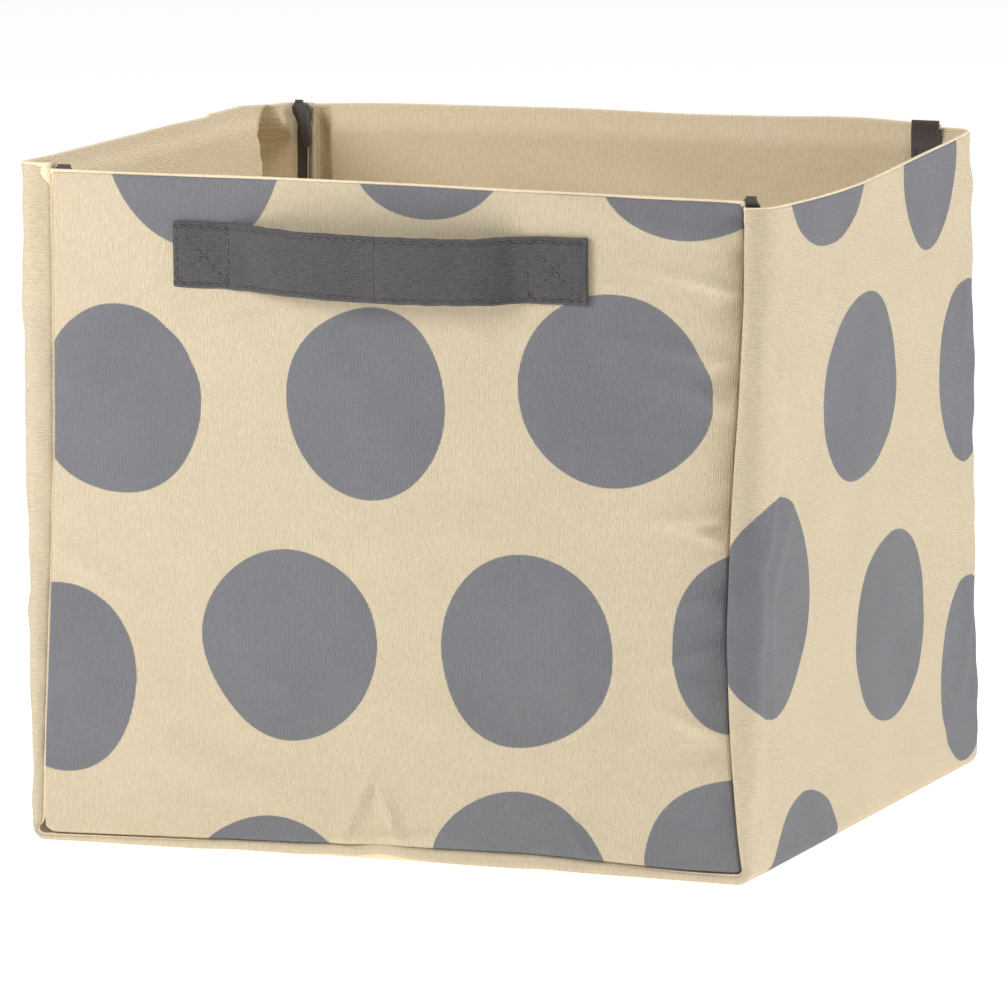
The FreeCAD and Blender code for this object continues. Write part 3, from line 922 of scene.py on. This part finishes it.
def strap_handle():
    middle = (SPAN[0] + SPAN[1]) / 2
    left = strap_half("strap_left_half", STRAP_LEFT + 1.0, middle, 91)
    right = strap_half("strap_right_half", middle, STRAP_RIGHT, 91)
    left_thread = thread_piece("strap_left_thread", box_runs(STRAP_LEFT + MARGIN)
                               + strap_runs(LEFT_SEWN + 2, middle - 1.2))
    right_thread = thread_piece("strap_right_thread", box_runs(STRAP_RIGHT - MARGIN - BOX)
                                + strap_runs(middle + 1.2, RIGHT_SEWN - 2))
    for piece, material, slot, nodes in (
            (left, STRAP, "handle_cloth", ("handle_left_end", "handle_left_ramp", "handle_span")),
            (right, STRAP, "handle_cloth", ("handle_right_ramp", "handle_right_end")),
            (left_thread, THREAD, "thread", ("handle_left_stitching", "handle_span_stitching")),
            (right_thread, THREAD, "thread", ("handle_right_stitching",))):
        finish_piece(piece, material, slot, None, *nodes)
        if piece in (left, left_thread):
            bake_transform(piece)
        else:
            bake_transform(piece)


# ---------------------------------------------------------------- loose base

def pad(low, high, radius, rings, count):
    """A flat pad or half of one, as rings of points from its middle outwards: each ring has its
    share of the way out and its height."""
    around = [(cx, cy, math.radians(angle))
              for cx, cy, start in ((1, -1, -90), (1, 1, 0), (-1, 1, 90), (-1, -1, 180))
              for angle in np.linspace(start, start + 90, 8)]
    centre = [(a + b) / 2 for a, b in zip(low, high)]
    half = [(b - a) / 2 for a, b in zip(low, high)]
    rows = []
    for share, z in rings:
        inset = (1 - share) * min(half)
        r = radius * share
        rows.append([(centre[0] + cx * (half[0] - inset - r) + r * math.cos(angle),
                      centre[1] + cy * (half[1] - inset - r) + r * math.sin(angle), z)
                     for cx, cy, angle in around])
    return subdivided(np.array(rows), count)


def subdivided(points, count):
    """More points round a wrapped ring."""
    wrapped = np.concatenate([points, points[:, :1]], axis=1)
    stretch = np.linalg.norm(np.diff(wrapped[-1], axis=0), axis=1) + 1e-6
    walked = np.concatenate([[0], np.cumsum(stretch)])
    at = np.linspace(0, walked[-1], count, endpoint=False)
    return np.stack([stack(*(np.interp(at, walked, row[:, i]) for i in range(3)))
                     for row in wrapped])


def loose_base():
    low = (INSERT_LOW.x / MM, INSERT_LOW.y / MM)
    high = (INSERT_HIGH.x / MM, INSERT_HIGH.y / MM)
    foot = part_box("insert_bottom_cover")[0].z / MM
    top = INSERT_HIGH.z / MM
    rings = [(share, top + 0.2) for share in np.linspace(0.0, 0.985, 34)]
    rings += [(0.993, top - 0.1), (0.998, top - 0.6), (1.0, top - 1.4), (1.0, foot + 1.2)]
    upper = pad(low, high, 7.0, rings, 300)
    x, y = upper[..., 0], upper[..., 1]
    edge = sum(step_up(np.abs(place), half - 14, half - 7)
               for place, half in ((x, HALF_X), (y, HALF_Y)))
    upper[..., 2] += (0.5 + 0.5 * unrest(x, y, 46, 101)) * np.clip(1 - edge, 0, 1)
    cloth = make_piece("insert_top_cloth", upper, upper[..., :2], None, 0.6, wrap=True, flip=True)
    finish_piece(cloth, LINING, "lining_cloth", "base_insert", "insert_top_cover")
    rings = [(share, foot + 0.05) for share in np.linspace(0.0, 0.99, 20)]
    rings += [(0.997, foot + 0.4), (0.997, foot + 1.0)]
    lower = pad(low, high, 7.0, rings, 200)
    sheet = make_piece("insert_bottom_cloth", lower, lower[..., :2], None, 0.5, wrap=True)
    finish_piece(sheet, LINING, "lining_cloth", "base_insert", "insert_bottom_cover")
    rings = [(0.0, foot + 0.9), (0.99, foot + 0.9), (1.0, foot + 1.1),
             (1.0, top - 1.1), (0.99, top - 0.9), (0.0, top - 0.9)]
    slab = pad([v + 1.4 for v in low], [v - 1.4 for v in high], 6.0, rings, 160)
    stiff = make_piece("insert_stiffener", slab, slab[..., :2], wrap=True, smooth=False)
    finish_piece(stiff, BOARD, "stiffening_board", "base_insert", "insert_board")
    return cloth, sheet


# ---------------------------------------------------------------- materials

def new_material(name):
    material = bpy.data.materials.new(name)
    material.use_nodes = True
    return material, material.node_tree, material.node_tree.nodes["Principled BSDF"]


def linear(red, green, blue):
    parts = [c / 255 for c in (red, green, blue)]
    return [c / 12.92 if c <= 0.04045 else ((c + 0.055) / 1.055) ** 2.4 for c in parts] + [1.0]


def node(tree, kind, **inputs):
    made = tree.nodes.new(kind)
    for key, value in inputs.items():
        feed(tree, value, made.inputs[key.replace("_", " ")])
    return made


def feed(tree, value, socket):
    """Links an output to a socket, or sets the socket to a constant."""
    if isinstance(value, bpy.types.NodeSocket):
        tree.links.new(value, socket)
    else:
        socket.default_value = value


def flat_cloth(tree):
    place = tree.nodes.new("ShaderNodeUVMap")
    place.uv_map = "cloth"
    return place.outputs["UV"]


def cloth_noise(tree, across, along, detail=2.0):
    """Noise on the flat cloth whose grains are about 100 / across by 100 / along mm."""
    scaled = node(tree, "ShaderNodeMapping", Vector=flat_cloth(tree), Scale=(across, along, 1))
    noise = node(tree, "ShaderNodeTexNoise", Vector=scaled.outputs["Vector"], Scale=1.0,
                 Detail=detail, Roughness=0.6)
    return noise.outputs["Fac"]


def body_noise(tree, scale, detail, rough):
    """Noise in the piece's own space."""
    place = tree.nodes.new("ShaderNodeTexCoord").outputs["Object"]
    return node(tree, "ShaderNodeTexNoise", Vector=place, Scale=scale, Detail=detail,
                Roughness=rough).outputs["Fac"]


def math_node(tree, operation, first, second):
    made = tree.nodes.new("ShaderNodeMath")
    made.operation = operation
    for value, socket in zip((first, second), made.inputs):
        feed(tree, value, socket)
    return made.outputs["Value"]


def layered(tree, base, *layers):
    """A colour with others laid over it in turn, each by its own share."""
    for share, colour in layers:
        made = tree.nodes.new("ShaderNodeMix")
        made.data_type = "RGBA"
        for key, value in (("Factor", share), ("A", base), ("B", colour)):
            feed(tree, value, made.inputs[key])
        base = made.outputs["Result"]
    return base


def spread(tree, value, low, high, to_low=0.0, to_high=1.0):
    made = node(tree, "ShaderNodeMapRange", Value=value, From_Min=low, From_Max=high, To_Min=to_low,
                To_Max=to_high)
    return made.outputs["Result"]


def slow_change(tree, size, detail=3.0):
    return spread(tree, cloth_noise(tree, size, size, detail), 0.3, 0.7)


def weave_height(tree, threads, ribbed=0.24, crossed=0.05, wander=5.0):
    """Ribs one way and finer ones across them, as threads in 100 mm, made uneven by noise."""
    ribs = []
    for direction, share in (("X", 1.0), ("Y", 1.12)):
        wave = node(tree, "ShaderNodeTexWave", Vector=flat_cloth(tree), Distortion=wander,
                    Scale=threads * share * math.tau / 20, Detail=2.0, Detail_Scale=0.9,
                    Detail_Roughness=0.6)
        wave.bands_direction = direction
        ribs.append(wave.outputs["Fac"])
    upright = cloth_noise(tree, threads * 1.1, threads * 0.22)
    grain = cloth_noise(tree, threads * 1.2, threads * 0.9)
    mixed = math_node(tree, "ADD", math_node(tree, "MULTIPLY", ribs[0], ribbed),
                      math_node(tree, "MULTIPLY", ribs[1], crossed))
    uneven = math_node(tree, "ADD", math_node(tree, "MULTIPLY", upright, 0.62),
                       math_node(tree, "MULTIPLY", grain, 0.38))
    return math_node(tree, "ADD", mixed, math_node(tree, "MULTIPLY", uneven, 0.85))


def dress(tree, shader, colour, rough, sheen, height, strength, distance):
    """Gives a shader its colour, roughness, sheen and a bump from a height."""
    bump = node(tree, "ShaderNodeBump", Height=height, Strength=strength, Distance=distance)
    for key, value in (("Base Color", colour), ("Roughness", rough), ("Sheen Weight", sheen),
                       ("Normal", bump.outputs["Normal"])):
        feed(tree, value, shader.inputs[key])


def cloth_colour(tree, weave, light, dark, pale, slubs, shade):
    """Beige cotton: slow changes of tone, streaks along the threads, slubs, and painted shade in
    the hollows of the weave.
    """
    streak = spread(tree, cloth_noise(tree, 60, 3.0), 0.3, 0.75, 0.0, 0.22)
    slub = spread(tree, cloth_noise(tree, 5.0, 110), 0.58, 0.75, 0.0, 0.30)
    raised = spread(tree, weave, 0.42, 0.72)
    # painted shade: the low places of the weave are darkened towards the shade colour
    weave_hollow_shade = math_node(tree, "MULTIPLY", math_node(tree, "SUBTRACT", 1.0, raised), 0.62)
    return layered(tree, light, (slow_change(tree, 2.2), dark), (streak, pale), (slub, slubs),
                   (weave_hollow_shade, shade))


def printed_material():
    material, tree, shader = new_material("printed_twill")
    weave = weave_height(tree, 120)
    # the last colour is the painted shade for the hollows of the weave
    beige = cloth_colour(tree, weave, linear(211, 197, 171), linear(205, 191, 165),
                         linear(214, 200, 173), linear(187, 172, 143), linear(179, 163, 133))
    depth = tree.nodes.new("ShaderNodeAttribute")
    depth.attribute_name = "print_depth"
    ragged = math_node(tree, "MULTIPLY", math_node(tree, "SUBTRACT", weave, 0.58), 1.1)
    inside = spread(tree, math_node(tree, "ADD", depth.outputs["Fac"], ragged), -0.16, 0.16)
    # painted highlight and painted shade in the grey print: paler on the raised threads, darker in
    # the hollows of the weave
    pale = spread(tree, weave, 0.60, 0.80, 0.0, 0.30)
    print_hollow_shade = spread(tree, weave, 0.38, 0.58, 0.28, 0.0)
    grey = layered(tree, linear(117, 117, 121), (slow_change(tree, 1.6), linear(109, 109, 113)),
                   (pale, linear(156, 155, 157)), (print_hollow_shade, linear(112, 110, 114)))
    shader.inputs["Specular IOR Level"].default_value = 0.3
    rough = spread(tree, inside, 0.0, 1.0, 0.95, 0.86)
    dress(tree, shader, layered(tree, beige, (inside, grey)), rough, 0.03, weave, 1.0, 0.00055)
    return material


def lining_material():
    material, tree, shader = new_material("plain_cotton")
    weave = weave_height(tree, 120)
    # painted light: the lining is the same beige cloth as the outside, painted paler than the
    # printed cloth's beige to stand in for light inside the bin; the last colour is the painted
    # shade for the hollows of the weave
    colour = cloth_colour(tree, weave, linear(244, 228, 199), linear(238, 221, 190),
                          linear(236, 221, 192), linear(206, 190, 158), linear(198, 180, 146))
    rough = spread(tree, weave, 0.4, 0.75, 0.97, 0.88)
    dress(tree, shader, colour, rough, 0.06, weave, 1.0, 0.00032)
    return material


def canvas_material(name, light, dark, threads, pale_on_raised):
    material, tree, shader = new_material(name)
    weave = weave_height(tree, threads, 0.22, 0.20, 1.2)
    # painted highlight on the raised threads of the canvas and painted shade, near black, in the
    # hollows of its weave
    high = spread(tree, weave, 0.58, 0.80, 0.0, pale_on_raised)
    canvas_hollow_shade = spread(tree, weave, 0.36, 0.56, 0.45, 0.0)
    colour = layered(tree, light, (slow_change(tree, 3.0), dark), (high, linear(118, 115, 114)),
                     (canvas_hollow_shade, linear(40, 38, 38)))
    rough = spread(tree, weave, 0.4, 0.75, 0.95, 0.80)
    dress(tree, shader, colour, rough, 0.06, weave, 0.7, 0.00025)
    return material


def board_material():
    material, tree, shader = new_material("grey_board")
    fibre = body_noise(tree, 420.0, 4.0, 0.7)
    cloud = spread(tree, body_noise(tree, 28.0, 3.0, 0.5), 0.3, 0.7)
    colour = layered(tree, linear(160, 146, 126), (cloud, linear(146, 132, 112)),
                     (spread(tree, fibre, 0.5, 0.75, 0.0, 0.6), linear(118, 104, 86)))
    dress(tree, shader, colour, 0.95, 0.0, fibre, 0.5, 0.0003)
    return material


def thread_material():
    material, tree, shader = new_material("grey_thread")
    ply = body_noise(tree, 1800.0, 2.0, 0.6)
    pale_on_raised = spread(tree, ply, 0.35, 0.65)
    colour = layered(tree, linear(62, 59, 60), (pale_on_raised, linear(104, 100, 100)))
    dress(tree, shader, colour, 0.6, 0.0, ply, 0.6, 0.0002)
    return material


PRINTED = printed_material()
LINING = lining_material()
# the last number is the share of painted highlight on the raised threads
STRAP = canvas_material("grey_canvas", linear(70, 68, 69), linear(60, 58, 59), 130, 0.35)
TAPE = canvas_material("grey_twill_tape", linear(84, 78, 79), linear(74, 68, 70), 150, 0.30)
BOARD = board_material()
THREAD = thread_material()


# ---------------------------------------------------------------- the bin

front = panel_cloth(-1, "front_panel_cloth", "front_cover", FRONT_DOTS, 170)
back = panel_cloth(1, "back_panel_cloth", "back_cover", BACK_DOTS, 120)
strip = side_and_base_cloth(2.4, 124)
front_inside = panel_lining(-1, "front_lining_cloth", "front_lining", 60)
back_inside = panel_lining(1, "back_lining_cloth", "back_lining", 90)
strip_inside = side_and_base_lining(2.6, 124)
panel_board(-1, "front_stiffener", "front_board")
panel_board(1, "back_stiffener", "back_board")
side_board(-1, "left_stiffener", "left_board")
side_board(1, "right_stiffener", "right_board")
binding(-1, "front")
binding(1, "back")
strap_handle()
insert_top, insert_under = loose_base()


# ---------------------------------------------------------------- floor, light and camera

WHITE = (1, 1, 1, 1)


def stage_material():
    material, tree, shader = new_material("pale_floor")
    for key, value in (("Base Color", (0.95, 0.95, 0.95, 1)), ("Roughness", 0.9),
                       ("Emission Color", WHITE), ("Emission Strength", 0.71)):
        feed(tree, value, shader.inputs[key])
    return material


def floor(size=14.0, level=-0.0002):
    """A wide floor just under the bin, which gives a little light of its own."""
    mesh = bpy.data.meshes.new("studio_floor")
    mesh.from_pydata([(x * size, y * size, level) for x, y in ((-1, -1), (1, -1), (1, 1), (-1, 1))],
                     [], [(0, 1, 2, 3)])
    made = link_piece("studio_floor", mesh)
    made.data.materials.append(stage_material())


def area_light(name, place, target, size, power):
    data = bpy.data.lights.new(name, "AREA")
    data.shape = "DISK"
    data.size = size
    data.energy = power
    made = link_piece(name, data)
    made.location = place
    made.rotation_euler = (Vector(target) - Vector(place)).to_track_quat("-Z", "Y").to_euler()


def camera():
    data = bpy.data.cameras.new("camera")
    data.sensor_width = 36.0
    data.lens = 285.7
    data.clip_end = 60
    made = link_piece("camera", data)
    made.location = (1.2695, -3.1942, 0.6639)
    yaw, pitch, roll = math.radians(-21.725), math.radians(8.804), math.radians(-0.3285)
    level = math.cos(pitch)
    ahead = Vector((math.sin(yaw) * level, math.cos(yaw) * level, -math.sin(pitch)))
    turned = ahead.to_track_quat("-Z", "Y").to_matrix().to_4x4()
    made.rotation_euler = (turned @ Matrix.Rotation(roll, 4, "Z")).to_euler()
    bpy.context.scene.camera = made


floor()
area_light("key", (-0.50, -0.74, 0.56), (-0.05, -0.1, 0.14), 0.4, 4.6)
area_light("side", (1.9, 0.5, 1.1), (0, 0, 0.14), 1.2, 19)
area_light("above", (0.45, -0.25, 1.9), (0, 0.05, 0.2), 0.9, 15)
world = bpy.data.worlds.new("studio")
bpy.context.scene.world = world
world.use_nodes = True
sky = world.node_tree.nodes["Background"]
sky.inputs["Color"].default_value = WHITE
sky.inputs["Strength"].default_value = 0.25
bpy.context.scene.view_settings.view_transform = "Standard"
camera()
